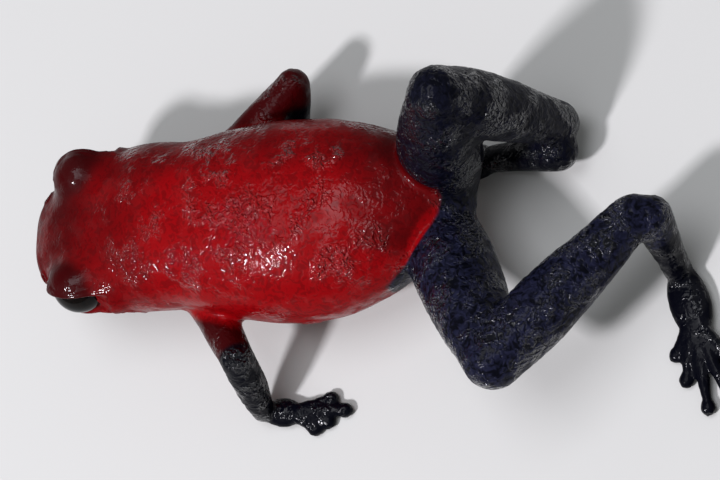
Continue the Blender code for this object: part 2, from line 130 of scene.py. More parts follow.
@dataclass(frozen=True)
class Stance:
    """How the body's axis lies over the floor.

    The axis runs from the snout at station 0 to the vent. The head bends down
    ahead of the neck, and the trunk is pitched a little.
    """

    length: float = 21.0
    axis_height: float = 4.15
    pitch: float = math.radians(4.0)
    bend: float = math.radians(12.0)
    turn: float = math.radians(2.5)
    neck: float = 6.5
    tail: float = 10.0
    tail_bend: float = 0.93
    tail_power: int = 3

    def sideways(self, station: np.ndarray | float) -> np.ndarray | float:
        """Return how far the axis lies to the left of the middle plane."""
        ahead = np.maximum(self.neck - station, 0.0)
        behind = np.maximum(station - self.tail, 0.0) / (self.length - self.tail)
        return ahead * math.tan(self.turn) - self.tail_bend * behind**self.tail_power

    def point(self, side: float, station: float, rise: float) -> Vector:
        """Place a point given beside, along and above the axis.

        Args:
            side: Distance to the left of the axis.
            station: Distance behind the snout.
            rise: Distance above the axis.

        Returns:
            The point in the model's own millimetres.
        """
        along, height = station - self.length / 2, rise
        if station < self.neck:
            ahead = station - self.neck
            along = self.neck - self.length / 2
            along += ahead * math.cos(self.bend) - rise * math.sin(self.bend)
            height = ahead * math.sin(self.bend) + rise * math.cos(self.bend)
        turned = along * math.cos(self.pitch) + height * math.sin(self.pitch)
        lifted = height * math.cos(self.pitch) - along * math.sin(self.pitch)
        return Vector((side + self.sideways(station), turned, lifted + self.axis_height))

    def unbend(self, places: np.ndarray) -> np.ndarray:
        """Turn model points back into side, station and rise.

        Args:
            places: Points, one a row.

        Returns:
            The side, station and rise of each, one a row.
        """
        cos_p, sin_p = math.cos(self.pitch), math.sin(self.pitch)
        y, z = places[:, 1], places[:, 2] - self.axis_height
        along = y * cos_p - z * sin_p
        height = y * sin_p + z * cos_p
        neck_y = self.neck - self.length / 2
        ahead = (along - neck_y) * math.cos(self.bend) + height * math.sin(self.bend)
        rise = height * math.cos(self.bend) - (along - neck_y) * math.sin(self.bend)
        bent = ahead < 0
        station = np.where(bent, self.neck + ahead, along + self.length / 2)
        side = places[:, 0] - self.sideways(station)
        return np.stack([side, station, np.where(bent, rise, height)], axis=1)


@dataclass
class Clay:
    """Closed forms that are later fused into one skin.

    Attributes:
        bm: The mesh that collects them.
    """

    bm: bmesh.types.BMesh = field(default_factory=bmesh.new)

    def ball(self, centre: Sequence[float], sizes: Sequence[float], turn: Matrix | None = None) -> None:
        """Add an ellipsoid.

        Args:
            centre: Its middle.
            sizes: Its half sizes.
            turn: Its rotation, or None.
        """
        place = Matrix.Translation(Vector(centre)) @ (turn or Matrix()).to_4x4()
        place = place @ Matrix.Diagonal((*sizes, 1.0))
        bmesh.ops.create_uvsphere(self.bm, u_segments=24, v_segments=14, radius=1.0, matrix=place)

    def loft(self, rings: Sequence[Matrix], sides: int = 20, square: float = 2.0) -> None:
        """Bridge circles that are placed by matrices into one closed tube.

        Args:
            rings: The place, turn and half sizes of each ring.
            sides: How many sides a ring has.
            square: The power of its outline, 2 for an ellipse.
        """
        previous: list[bmesh.types.BMEdge] = []
        for number, place in enumerate(rings):
            made = bmesh.ops.create_circle(self.bm, cap_ends=False, segments=sides, radius=1.0)
            verts = made["verts"]
            if square != 2.0:
                for vert in verts:
                    across, up, _ = vert.co
                    vert.co.x = math.copysign(abs(across) ** (2 / square), across)
                    vert.co.y = math.copysign(abs(up) ** (2 / square), up)
            bmesh.ops.transform(self.bm, matrix=place, verts=verts)
            edges = list(dict.fromkeys(edge for vert in verts for edge in vert.link_edges))
            if number in (0, len(rings) - 1):
                bmesh.ops.edgeloop_fill(self.bm, edges=edges)
            if previous:
                bmesh.ops.bridge_loops(self.bm, edges=previous + edges)
            previous = edges

    def limb(self, points: Sequence[Vector], radii: Sequence[float]) -> None:
        """Sweep a circle of changing radius along points, with round ends.

        Args:
            points: The middle line.
            radii: The radius at each point.
        """
        rings = []
        count = len(points)
        for i, (place, radius) in enumerate(zip(points, radii)):
            run = points[min(i + 1, count - 1)] - points[max(i - 1, 0)]
            forward = run.normalized()
            up = Vector((0, 0, 1)) - forward * forward.z
            up = up.normalized() if up.length > UPRIGHT else Vector((0, 1, 0))
            across = up.cross(forward)
            turn = Matrix((across, forward.cross(across), forward)).transposed().to_4x4()
            size = Matrix.Diagonal((radius, radius, radius, 1))
            rings.append(Matrix.Translation(place) @ turn @ size)
        self.loft(rings)
        for place, radius in ((points[0], radii[0]), (points[-1], radii[-1])):
            self.ball(place, (radius, radius, radius))

    def mesh(self, name: str) -> bpy.types.Mesh:
        """Return the collected forms as a mesh and free them."""
        bmesh.ops.recalc_face_normals(self.bm, faces=self.bm.faces)
        mesh = bpy.data.meshes.new(name)
        self.bm.to_mesh(mesh)
        self.bm.free()
        return mesh


def cubic(near: float, far: float, slope_near: float, slope_far: float, t: float) -> float:
    """Return the smooth line from one value to another.

    Args:
        near: The first value.
        far: The second value.
        slope_near: The line's slope at the first.
        slope_far: Its slope at the second.
        t: The share of the way.

    Returns:
        The line's reading.
    """
    return (
        (2 * t**3 - 3 * t**2 + 1) * near + (t**3 - 2 * t**2 + t) * slope_near
        + (3 * t**2 - 2 * t**3) * far + (t**3 - t**2) * slope_far)


def eased(values: Sequence[float], count: int) -> list[float]:
    """Return evenly spaced readings of a smooth line through values.

    Args:
        values: The numbers that the line passes, evenly spaced.
        count: How many readings.

    Returns:
        The readings in order.
    """
    last = len(values) - 1
    readings = []
    for i in range(count):
        where = last * i / (count - 1)
        k = min(int(where), last - 1)
        t = where - k
        before, after = values[max(k - 1, 0)], values[min(k + 2, last)]
        slope_near, slope_far = (values[k + 1] - before) / 2, (after - values[k]) / 2
        readings.append(cubic(values[k], values[k + 1], slope_near, slope_far, t))
    return readings


@dataclass(frozen=True)
class Bone:
    """A straight run of a limb or a digit.

    Attributes:
        name: The sub-part that it stands for.
        near: Its end towards the body.
        far: Its other end.
        radii: The radii of the flesh along it, at even steps.
    """

    name: str
    near: Vector
    far: Vector
    radii: tuple[float, ...]

    @property
    def radius(self) -> float:
        """Return the mean radius of the flesh round it."""
        return sum(self.radii) / len(self.radii)

    def distance(self, places: np.ndarray) -> tuple[np.ndarray, np.ndarray]:
        """Return how far points lie outside the limb, and how far along it.

        Args:
            places: Points, one a row.

        Returns:
            The distance from the limb's surface and the share along the bone.
        """
        start, run = np.array(self.near), np.array(self.far - self.near)
        share = np.clip((places - start) @ run / (run @ run), 0.0, 1.0)
        gap = np.linalg.norm(places - (start + share[:, None] * run), axis=1)
        return gap - self.radius, share


@dataclass(frozen=True)
class Trunk:
    """The head and trunk, lofted through sections along the body's axis.

    Attributes:
        stance: How the axis lies.
        sections: Station, half width, top and bottom of each section.
        square: The power of the sections' outline.
        step: The distance between the rings of the loft.
    """

    stance: Stance
    sections: tuple[tuple[float, float, float, float], ...] = (
        (0.00, 1.00, 0.34, 0.42),
        (0.30, 1.72, 0.74, 0.82),
        (1.00, 2.38, 1.18, 1.20),
        (2.00, 2.92, 1.56, 1.55),
        (3.50, 3.32, 1.95, 1.90),
        (5.00, 3.66, 2.22, 2.25),
        (6.50, 3.73, 2.45, 2.60),
        (8.00, 3.68, 2.78, 3.00),
        (10.00, 4.07, 3.12, 3.38),
        (12.50, 4.40, 3.30, 3.44),
        (15.00, 4.24, 3.16, 3.12),
        (17.00, 3.62, 2.78, 2.55),
        (18.80, 2.68, 2.20, 1.85),
        (20.20, 1.60, 1.40, 1.25),
        (20.85, 0.80, 0.60, 0.60),
    )
    square: float = 2.3
    step: float = 0.25

    def at(self, station: float) -> list[float]:
        """Return half width, top and bottom at a station."""
        rows = self.sections
        last = len(rows) - 2
        k = max(i for i in range(last + 1) if rows[i][0] <= station or i == 0)
        near, far = rows[k], rows[k + 1]
        before, after = rows[max(k - 1, 0)], rows[min(k + 2, last + 1)]
        span = far[0] - near[0]
        t = (station - near[0]) / span
        read = []
        for c in range(1, 4):
            slope_near = (far[c] - before[c]) / (far[0] - before[0]) * span
            slope_far = (after[c] - near[c]) / (after[0] - near[0]) * span
            read.append(cubic(near[c], far[c], slope_near, slope_far, t))
        return read

    def model(self, clay: Clay) -> None:
        """Add the head and trunk to the clay."""
        end = self.sections[-1][0]
        steps = math.ceil(end / self.step)
        rings = []
        for i in range(steps + 1):
            station = end * i / steps
            width, top, bottom = self.at(station)
            middle = (top - bottom) / 2
            centre = self.stance.point(0, station, middle)
            up = (self.stance.point(0, station, middle + 1) - centre).normalized()
            across = Vector((1, 0, 0))
            turn = Matrix((across, up, across.cross(up))).transposed().to_4x4()
            size = Matrix.Diagonal((width, (top + bottom) / 2, 1, 1))
            rings.append(Matrix.Translation(centre) @ turn @ size)
        clay.loft(rings, sides=56, square=self.square)

    def outside(self, body: np.ndarray) -> np.ndarray:
        """Return roughly how far points lie outside the trunk.

        Args:
            body: The side, station and rise of each point, one a row.

        Returns:
            The distance of each, negative inside.
        """
        stations = np.linspace(0.05, self.sections[-1][0], 120)
        table = np.array([self.at(float(s)) for s in stations])
        station = np.clip(body[:, 1], 0.05, self.sections[-1][0])
        width = np.interp(station, stations, table[:, 0])
        top = np.interp(station, stations, table[:, 1])
        bottom = np.interp(station, stations, table[:, 2])
        height = np.where(body[:, 2] > 0, top, bottom)
        reach = (np.abs(body[:, 0] / width) ** self.square + np.abs(body[:, 2] / height) ** self.square)
        beyond = np.abs(body[:, 1] - station)
        return (reach ** (1 / self.square) - 1.0) * np.minimum(width, height) + beyond


@dataclass(frozen=True)
class Face:
    """The head's own forms and where its features lie.

    Attributes:
        stance: How the head is carried.
        eye: How far an eye lies beside, behind and above the snout's tip.
        eye_radius: The radius of an eyeball.
        brows: How far each swelling round an eye lies inwards, behind and above the
            eye's middle, and its half sizes.
        lid_axis: The direction that the opening of the lids faces, on the left.
        lid_droop: How much lower the opening faces on the right.
        lid_reach: Half the opening's width and height, in degrees.
        lid_thickness: How far the lids' edge stands out from the eyeball.
        lid_rim: The height of the rim along the lids' edge.
        lid_fold: The depth of the fold behind the upper lid.
        mouth_end: The station of the mouth's corners.
        mouth_drop: How far the mouth lies below the axis, in front and at its corners.
        mouth_line: The half width and the depth of the line between the lips.
        lips: How far each lip's swelling lies above that line, and its half width.
        lip_height: The height of both.
        nostril: How far a nostril lies beside, behind and above the snout's tip.
        pit: The radius and the depth of a nostril.
        pit_rim: The radius, half width and height of the rim round it.
        ear: How far an ear lies behind the snout and below the axis.
        ear_radius: The radius of an ear's ring.
        ear_form: The ring's half width and height, and the width of its inner edge
            and the depth of the drum.
    """

    stance: Stance
    eye: Point = (2.42, 3.0, 0.95)
    eye_radius: float = 1.22
    brows: tuple[tuple[Point, Point], ...] = (
        ((0.08, 0.12, -0.02), (1.46, 1.66, 1.42)),
        ((0.08, 1.30, -0.16), (1.44, 2.10, 1.26)),
    )
    lid_axis: Point = (0.95, -0.03, 0.17)
    lid_droop: float = 0.34
    lid_reach: tuple[float, float] = (74.0, 42.0)
    lid_thickness: float = 0.13
    lid_rim: float = 0.035
    lid_fold: float = 0.02
    mouth_end: float = 5.0
    mouth_drop: tuple[float, float] = (0.42, 0.95)
    mouth_line: tuple[float, float] = (0.07, 0.12)
    lips: tuple[tuple[float, float], ...] = ((0.22, 0.13), (-0.20, 0.12))
    lip_height: float = 0.04
    nostril: Point = (1.2, 0.75, 0.42)
    pit: tuple[float, float] = (0.13, 0.16)
    pit_rim: Point = (0.24, 0.10, 0.06)
    ear: tuple[float, float] = (5.15, 0.25)
    ear_radius: float = 0.5
    ear_form: tuple[float, ...] = (0.09, 0.04, 0.2, 0.05)

    def eye_centre(self, side: Side) -> Vector:
        """Return the middle of an eye."""
        across, along, up = self.eye
        return self.stance.point(side.value * across, along, up)

    def model(self, clay: Clay) -> None:
        """Add the swellings round the eyes to the clay."""
        for side in Side:
            for (inward, back, up), size in self.brows:
                clay.ball(self.eye_centre(side) + Vector((-side.value * inward, back, up)), size)

    def lid_share(self, side: Side, places: np.ndarray) -> tuple[np.ndarray, np.ndarray]:
        """Work out where points lie in the opening of the lids.

        Args:
            side: The frog's side.
            places: Points, one a row.

        Returns:
            The share of the opening's reach, 1 at the lids' edge, and the distance
            from the eye's middle.
        """
        away = places - np.array(self.eye_centre(side))
        distance = np.linalg.norm(away, axis=1)
        across, along, up = self.lid_axis
        up -= self.lid_droop if side is Side.RIGHT else 0.0
        axis = Vector((side.value * across, along, up)).normalized()
        lift = (Vector((0, 0, 1)) - axis * axis.z).normalized()
        fore = axis.cross(lift)
        ahead = away @ np.array(axis)
        off = np.linalg.norm(away - ahead[:, None] * np.array(axis), axis=1)
        tilt = np.degrees(np.arctan2(off, ahead))
        flat = np.hypot(away @ np.array(lift), away @ np.array(fore)) + 1e-9
        wide = tilt * (away @ np.array(fore)) / flat / self.lid_reach[0]
        tall = tilt * (away @ np.array(lift)) / flat / self.lid_reach[1]
        return np.hypot(wide, tall), distance

    def mouth_rise(self, station: np.ndarray) -> np.ndarray:
        """Return the rise of the line between the lips at each station."""
        front, rear = self.mouth_drop
        return -(front + (rear - front) * np.clip(station / self.mouth_end, 0.0, 1.2))

    def spots(self, tree: BVHTree) -> list[np.ndarray]:
        """Find the nostrils and then the ears on the skin.

        Args:
            tree: The skin's surface.

        Returns:
            The place of each, left before right.
        """
        across, along, up = self.nostril
        behind, below = self.ear
        found = []
        for station, aside, rise in ((along, across * 3, up * 3), (behind, FAR_ASIDE, -below)):
            for side in Side:
                origin = self.stance.point(0, station, min(rise, 0.0))
                target = self.stance.point(side.value * aside, station, rise)
                found.append(np.array(tree.ray_cast(origin, (target - origin).normalized())[0]))
        return found


@dataclass(frozen=True)
class Digits:
    """The fingers or toes of one hand or foot.

    Attributes:
        turns: The turn of each from the heading, in degrees, inner one first.
        lengths: Their lengths.
        radius: Their radius.
        pad: The half width of their end discs.
    """

    turns: tuple[float, ...]
    lengths: tuple[float, ...]
    radius: float = 0.28
    pad: float = 0.44


FINGERS = Digits((-30.0, -11.0, 4.0, 20.0), (1.20, 1.65, 2.40, 1.80), 0.24, 0.40)
TOES = Digits((-44.0, -25.0, -9.0, 6.0, 23.0), (1.60, 2.50, 3.70, 4.90, 3.40), 0.25, 0.39)


KNUCKLES = (
    (0.0, 0.50, 1.15), (0.25, 0.52, 1.04), (0.48, 0.47, 1.10),
    (0.60, 0.42, 0.98), (0.75, 0.36, 1.04), (0.90, 0.30, 0.84),
)


@dataclass(frozen=True)
class Extremity:
    """A palm or sole that lies flat on the floor, with its digits.

    Attributes:
        name: The node that it stands for.
        side: The frog's side.
        joint: The wrist or instep.
        heading: The level direction in which it points, in radians from +X.
        size: The half sizes of the palm or sole.
        reach: How far its middle lies ahead of the joint.
        digits: Its fingers or toes.
        pad_height: How high the discs' middles lie.
        fan: How far ahead of its middle the digits fan out, as a share of its length.
    """

    name: str
    side: Side
    joint: Vector
    heading: float
    size: Point
    reach: float
    digits: Digits
    pad_height: float = 0.25
    fan: float = 0.35

    def ahead(self, turn: float = 0.0) -> Vector:
        """Return the level direction at a turn in degrees from the heading."""
        angle = self.heading + self.side.value * math.radians(turn)
        return Vector((math.cos(angle), math.sin(angle), 0.0))

    def middle(self) -> Vector:
        """Return the middle of the palm or sole."""
        return Vector((self.joint[0], self.joint[1], self.size[2] * 0.9)) + self.ahead() * self.reach

    def model(self, clay: Clay) -> None:
        """Add the palm or sole and its digits to the clay."""
        middle = self.middle()
        clay.ball(middle, self.size, Matrix.Rotation(self.heading, 4, "Z"))
        start = middle + self.ahead() * self.size[0] * self.fan
        for turn, length in zip(self.digits.turns, self.digits.lengths):
            away = self.ahead(turn)
            root = start + away * self.size[1] * 0.2
            points, radii = [], []
            for share, height, swell in (*KNUCKLES, (1.0, self.pad_height, 0.90)):
                spot = root + away * length * share
                points.append(Vector((spot.x, spot.y, height)))
                radii.append(self.digits.radius * swell)
            clay.limb(points, radii)
            pad = self.digits.pad
            turned = Matrix.Rotation(math.atan2(away.y, away.x), 4, "Z")
            clay.ball(points[-1], (pad, pad * 0.9, self.pad_height + 0.06), turned)

    def bones(self) -> Iterable[Bone]:
        """Yield the runs of the palm or sole and of its digits."""
        middle = self.middle()
        yield Bone(self.name, self.joint, middle, (self.size[1],))
        start = middle + self.ahead() * self.size[0] * self.fan
        for turn, length in zip(self.digits.turns, self.digits.lengths):
            yield Bone(self.name, start, start + self.ahead(turn) * length, (self.digits.radius,))


@dataclass(frozen=True)
class Limb:
    """An arm or a hind leg, from its root in the trunk to its digits.

    Attributes:
        runs: Its runs from the body outwards.
        end: The hand or foot.
    """

    runs: tuple[Bone, ...]
    end: Extremity

    def model(self, clay: Clay) -> None:
        """Add the limb's runs and its hand or foot to the clay."""
        for run in self.runs:
            steps = RINGS_EACH * (len(run.radii) - 1)
            points = [run.near.lerp(run.far, i / steps) for i in range(steps + 1)]
            clay.limb(points, eased(run.radii, steps + 1))
        self.end.model(clay)

    def bones(self) -> Iterable[Bone]:
        """Yield the limb's bones from the body outwards."""
        yield from self.runs
        yield from self.end.bones()


UPPER_ARM_RADII = (1.02, 0.88, 0.84, 0.76)
FOREARM_RADII = (0.76, 0.76, 0.68, 0.51)
THIGH_RADII = (1.66, 1.84, 1.76, 1.54, 1.24)
SHANK_RADII = (1.24, 1.42, 1.36, 1.16, 0.96)
TARSUS_RADII = (0.92, 0.78, 0.66, 0.62)
PALM_SIZE = (1.00, 0.66, 0.42)
SOLE_SIZE = (1.70, 0.92, 0.46)
PALM_REACH = 0.80
SOLE_REACH = 1.45
ARM_JOINTS = {
    Side.LEFT: ((2.90, -2.28, 3.25), (5.93, -0.04, 4.30), (7.78, -0.34, 0.80)),
    Side.RIGHT: ((-2.90, -1.60, 3.25), (-6.27, 1.66, 3.25), (-4.15, 0.70, 0.80)),
}
LEG_JOINTS = {
    Side.LEFT: ((0.55, 8.75, 3.25), (6.57, 12.30, 6.00), (0.60, 17.72, 4.55), (2.15, 18.50, 0.70)),
    Side.RIGHT: ((-1.85, 8.75, 3.25), (-3.87, 10.78, 9.15), (-4.20, 13.42, 1.80), (-3.05, 10.15, 0.65)),
}
TARSUS_ROOT = {Side.LEFT: (0.60, 18.42, 4.30), Side.RIGHT: (-3.05, 13.35, 1.50)}
HAND_HEADING = {Side.LEFT: math.radians(88.0), Side.RIGHT: math.radians(-74.0)}
FOOT_HEADING = {Side.LEFT: math.radians(18.0), Side.RIGHT: math.radians(-88.0)}


def arm(side: Side) -> Limb:
    """Return the arm of one side."""
    shoulder, elbow, wrist = map(Vector, ARM_JOINTS[side])
    heading = HAND_HEADING[side]
    hand = Extremity(f"hand_{side.word}", side, wrist, heading, PALM_SIZE, PALM_REACH, FINGERS)
    runs = (
        Bone(f"upper_arm_{side.word}", shoulder, elbow, UPPER_ARM_RADII),
        Bone(f"forearm_{side.word}", elbow, wrist, FOREARM_RADII),
    )
    return Limb(runs, hand)


def leg(side: Side) -> Limb:
    """Return the hind leg of one side."""
    hip, knee, heel, instep = map(Vector, LEG_JOINTS[side])
    heading = FOOT_HEADING[side]
    foot = Extremity(f"foot_{side.word}", side, instep, heading, SOLE_SIZE, SOLE_REACH, TOES)
    runs = (
        Bone(f"thigh_{side.word}", hip, knee, THIGH_RADII),
        Bone(f"shank_{side.word}", knee, heel, SHANK_RADII),
        Bone(f"tarsus_{side.word}", Vector(TARSUS_ROOT[side]), instep, TARSUS_RADII),
    )
    return Limb(runs, foot)


@dataclass(frozen=True)
class Graph:
    """A short way to add nodes and links to a node tree.

    Attributes:
        tree: The tree that they go into.
    """

    tree: bpy.types.NodeTree

    def node(self, kind: str, settings: dict | None = None, **inputs: object) -> bpy.types.Node:
        """Add a node, set its settings and feed its inputs.

        Args:
            kind: The node's type.
            settings: Its own settings by name.
            **inputs: Numbers, colours or sockets by input name, with _ for a space.

        Returns:
            The node.
        """
        made = self.tree.nodes.new(kind)
        for key, value in (settings or {}).items():
            setattr(made, key, value)
        for key, value in inputs.items():
            numbered = key[0] == "i" and key[1:].isdigit()
            slot = made.inputs[int(key[1:]) if numbered else key.replace("_", " ")]
            if isinstance(value, Socket):
                self.tree.links.new(value, slot)
            else:
                slot.default_value = value
        return made

    def math(self, operation: str, first: object, second: object = 0.0) -> Socket:
        """Return the result of a Math node."""
        return self.node("ShaderNodeMath", {"operation": operation}, i0=first, i1=second).outputs[0]

    def blend(self, share: object, first: object, second: object) -> Socket:
        """Return a colour mixed from two by a share."""
        made = self.node("ShaderNodeMix", {"data_type": "RGBA"}, i0=share, i6=first, i7=second)
        return made.outputs[2]

    def span(
        self, value: object, low: float, high: float, to_low: float = 0.0, to_high: float = 1.0,
    ) -> Socket:
        """Return a number moved smoothly from one range to another."""
        made = self.node(
            "ShaderNodeMapRange", {"interpolation_type": "SMOOTHSTEP"},
            i0=value, i1=low, i2=high, i3=to_low, i4=to_high)
        return made.outputs[0]

    def attribute(self, zone: Zone) -> Socket:
        """Return the mask that the mesh carries for a zone."""
        return self.node("ShaderNodeAttribute", {"attribute_name": zone.value}).outputs["Fac"]


def new_material(name: str) -> tuple[bpy.types.Material, bpy.types.Node]:
    """Make a material with nodes and return it with its shader."""
    material = bpy.data.materials.new(name)
    material.use_nodes = True
    return material, material.node_tree.nodes["Principled BSDF"]


def relief_group() -> bpy.types.NodeTree:
    """Build the group of fine skin relief: curled wrinkles, granules and their patches.

    Returns:
        The node group, with height, mottle and patches as its outputs.
    """
    group = bpy.data.node_groups.new("moist_skin_relief", "ShaderNodeTree")
    sockets = group.interface
    sockets.new_socket("Vector", in_out="INPUT", socket_type="NodeSocketVector")
    for name, value in (("Granule Scale", 5200.0), ("Wrinkle Scale", 2300.0), ("Wrinkles", 0.8)):
        sockets.new_socket(name, in_out="INPUT", socket_type="NodeSocketFloat").default_value = value
    for name in ("Height", "Mottle", "Patches"):
        sockets.new_socket(name, in_out="OUTPUT", socket_type="NodeSocketFloat")
    graph = Graph(group)
    given = graph.node("NodeGroupInput").outputs
    warp = graph.node("ShaderNodeTexNoise", {}, Vector=given["Vector"], Scale=1900.0, Detail=2.0)
    shift = graph.node(
        "ShaderNodeVectorMath", {"operation": "SUBTRACT"}, i0=warp.outputs["Color"], i1=(0.5, 0.5, 0.5))
    shift = graph.node("ShaderNodeVectorMath", {"operation": "SCALE"}, i0=shift.outputs[0], Scale=0.0006)
    moved = graph.node(
        "ShaderNodeVectorMath", {"operation": "ADD"}, i0=given["Vector"], i1=shift.outputs[0]).outputs[0]
    cells = graph.node(
        "ShaderNodeTexVoronoi", {"feature": "SMOOTH_F1"}, Vector=moved, Scale=given["Granule Scale"],
        Smoothness=0.3, Randomness=1.0)
    dome = graph.span(cells.outputs["Distance"], 0.75, 0.05)
    folds = graph.node(
        "ShaderNodeTexNoise", {}, Vector=moved, Scale=given["Wrinkle Scale"], Detail=2.0, Roughness=0.55)
    ridge = graph.math("ABSOLUTE", graph.math("SUBTRACT", folds.outputs["Fac"], 0.5))
    ridge = graph.span(ridge, 0.14, 0.0)
    height = graph.math("ADD", dome, graph.math("MULTIPLY", ridge, given["Wrinkles"]))
    mottle = graph.node("ShaderNodeTexNoise", {}, Vector=given["Vector"], Scale=420.0, Detail=4.0)
    patches = graph.node("ShaderNodeTexNoise", {}, Vector=moved, Scale=900.0, Detail=3.0)
    graph.node(
        "NodeGroupOutput", Height=height, Mottle=mottle.outputs["Fac"],
        Patches=graph.span(patches.outputs["Fac"], 0.42, 0.62))
    return group


@dataclass(frozen=True)
class SkinFinish:
    """The moist two-coloured skin: red on the body, blue-black on the limbs.

    Attributes:
        red: The bright red of the flanks.
        deep_red: The dark red of the head and the upper arms, also used as painted shade in the hollows
            of the relief.
        blue: The colour of the granules' tops, lighter there as painted light.
        night: The blue-black between them, darker there as painted shade; the darkest limbs are all this
            colour.
        crease: The painted shade deep in folds, mouth, nostrils, ears and pits.
        crease_share: How much of that painted shade shows there.
        edge: How far the border of the colours wanders.
        bump: The height of the finest relief, in metres.
    """

    red: Colour = (0.240, 0.0008, 0.0024, 1.0)
    deep_red: Colour = (0.038, 0.0006, 0.0012, 1.0)
    blue: Colour = (0.011, 0.012, 0.030, 1.0)
    night: Colour = (0.0012, 0.0014, 0.0040, 1.0)
    crease: Colour = (0.006, 0.0004, 0.0008, 1.0)
    crease_share: float = 0.85
    edge: float = 0.24
    bump: float = 0.00007

    def colour(self, graph: Graph, places: Socket, height: Socket, mottle: Socket) -> Socket:
        """Mix the skin's colours.

        Args:
            graph: Where the nodes go.
            places: The Object coordinates.
            height: The fine relief, which also sets the painted light and shade on it.
            mottle: The slow variation of the skin.

        Returns:
            The colour.
        """
        edge = graph.node("ShaderNodeTexNoise", {}, Vector=places, Scale=1400.0, Detail=4.0)
        wander = graph.math("MULTIPLY", graph.math("SUBTRACT", edge.outputs["Fac"], 0.5), self.edge)
        blue = graph.span(graph.math("ADD", graph.attribute(Zone.BLUE), wander), 0.28, 0.72)
        # Brightness mask, partly painted shade on the head, the right side and the right leg.
        bright = graph.attribute(Zone.TONE)
        tone = graph.math("ADD", bright, graph.span(mottle, 0.3, 0.7, -0.12, 0.12))
        reds = graph.blend(graph.span(tone, 0.0, 1.0), self.deep_red, self.red)
        # Painted shade: the red darkens towards the deep red in the hollows of the relief.
        reds = graph.blend(graph.span(height, 0.9, 0.2, 0.0, 0.35), reds, self.deep_red)
        # Painted light and shade: the blue is lighter on the granules' tops and blue-black in the
        # hollows, as far as the brightness mask allows.
        tops = graph.math("MULTIPLY", graph.span(height, 0.0, 1.5), bright)
        blues = graph.blend(tops, self.night, self.blue)
        colour = graph.blend(blue, reds, blues)
        # Painted shade in the creases: the mouth line, nostrils, ear rims and small pits.
        painted_shade = graph.math("MULTIPLY", graph.attribute(Zone.CREASE), self.crease_share)
        return graph.blend(painted_shade, colour, self.crease)

    def material(self, name: str) -> bpy.types.Material:
        """Build the material.

        Args:
            name: The material's name.

        Returns:
            The material, ready for the skin.
        """
        material, shader = new_material(name)
        tree = material.node_tree
        graph = Graph(tree)
        places = graph.node("ShaderNodeTexCoord").outputs["Object"]
        relief = graph.node("ShaderNodeGroup", {"node_tree": relief_group()}, Vector=places)
        height, mottle = relief.outputs["Height"], relief.outputs["Mottle"]
        tree.links.new(self.colour(graph, places, height, mottle), shader.inputs["Base Color"])
        patches = relief.outputs["Patches"]
        tree.links.new(graph.span(patches, 0.0, 1.0, 0.46, 0.34), shader.inputs["Roughness"])
        grainy = graph.attribute(Zone.GRAIN)
        grain = graph.math("MULTIPLY", grainy, graph.span(patches, 0.0, 1.0, 0.12, 1.0))
        strength = graph.math("MULTIPLY", height, graph.math("ADD", grain, 0.05))
        bump = graph.node("ShaderNodeBump", {}, Strength=1.0, Distance=self.bump, Height=strength)
        tree.links.new(bump.outputs["Normal"], shader.inputs["Normal"])
        tree.links.new(bump.outputs["Normal"], shader.inputs["Coat Normal"])
        shader.inputs["IOR"].default_value = 1.10
        wet = graph.math(
            "MULTIPLY", graph.span(patches, 0.0, 1.0, 0.20, 1.0),
            graph.span(grainy, 0.0, 0.6, 0.5, 1.0))
        tree.links.new(wet, shader.inputs["Coat Weight"])
        shader.inputs["Coat Roughness"].default_value = 0.06
        shader.inputs["Coat IOR"].default_value = 1.36
        return material


@dataclass(frozen=True)
class EyeFinish:
    """The polished black eye with a barely lighter iris.

    Attributes:
        black: The colour of the pupil.
        iris: The colour of the iris.
    """

    black: Colour = (0.0015, 0.0015, 0.0015, 1.0)
    iris: Colour = (0.006, 0.004, 0.003, 1.0)

    def material(self, name: str) -> bpy.types.Material:
        """Build the material.

        Args:
            name: The material's name.

        Returns:
            The material, ready for an eye.
        """
        material, shader = new_material(name)
        tree = material.node_tree
        graph = Graph(tree)
        places = graph.node("ShaderNodeTexCoord").outputs["Object"]
        grain = graph.node("ShaderNodeTexNoise", {}, Vector=places, Scale=6000.0, Detail=3.0)
        fleck = grain.outputs["Fac"]
        flecked = graph.span(fleck, 0.35, 0.7, 0.25, 1.0)
        share = graph.math("MULTIPLY", graph.attribute(Zone.TONE), flecked)
        tree.links.new(graph.blend(share, self.black, self.iris), shader.inputs["Base Color"])
        tree.links.new(graph.span(fleck, 0.3, 0.7, 0.05, 0.09), shader.inputs["Roughness"])
        shader.inputs["IOR"].default_value = 1.20
        return material


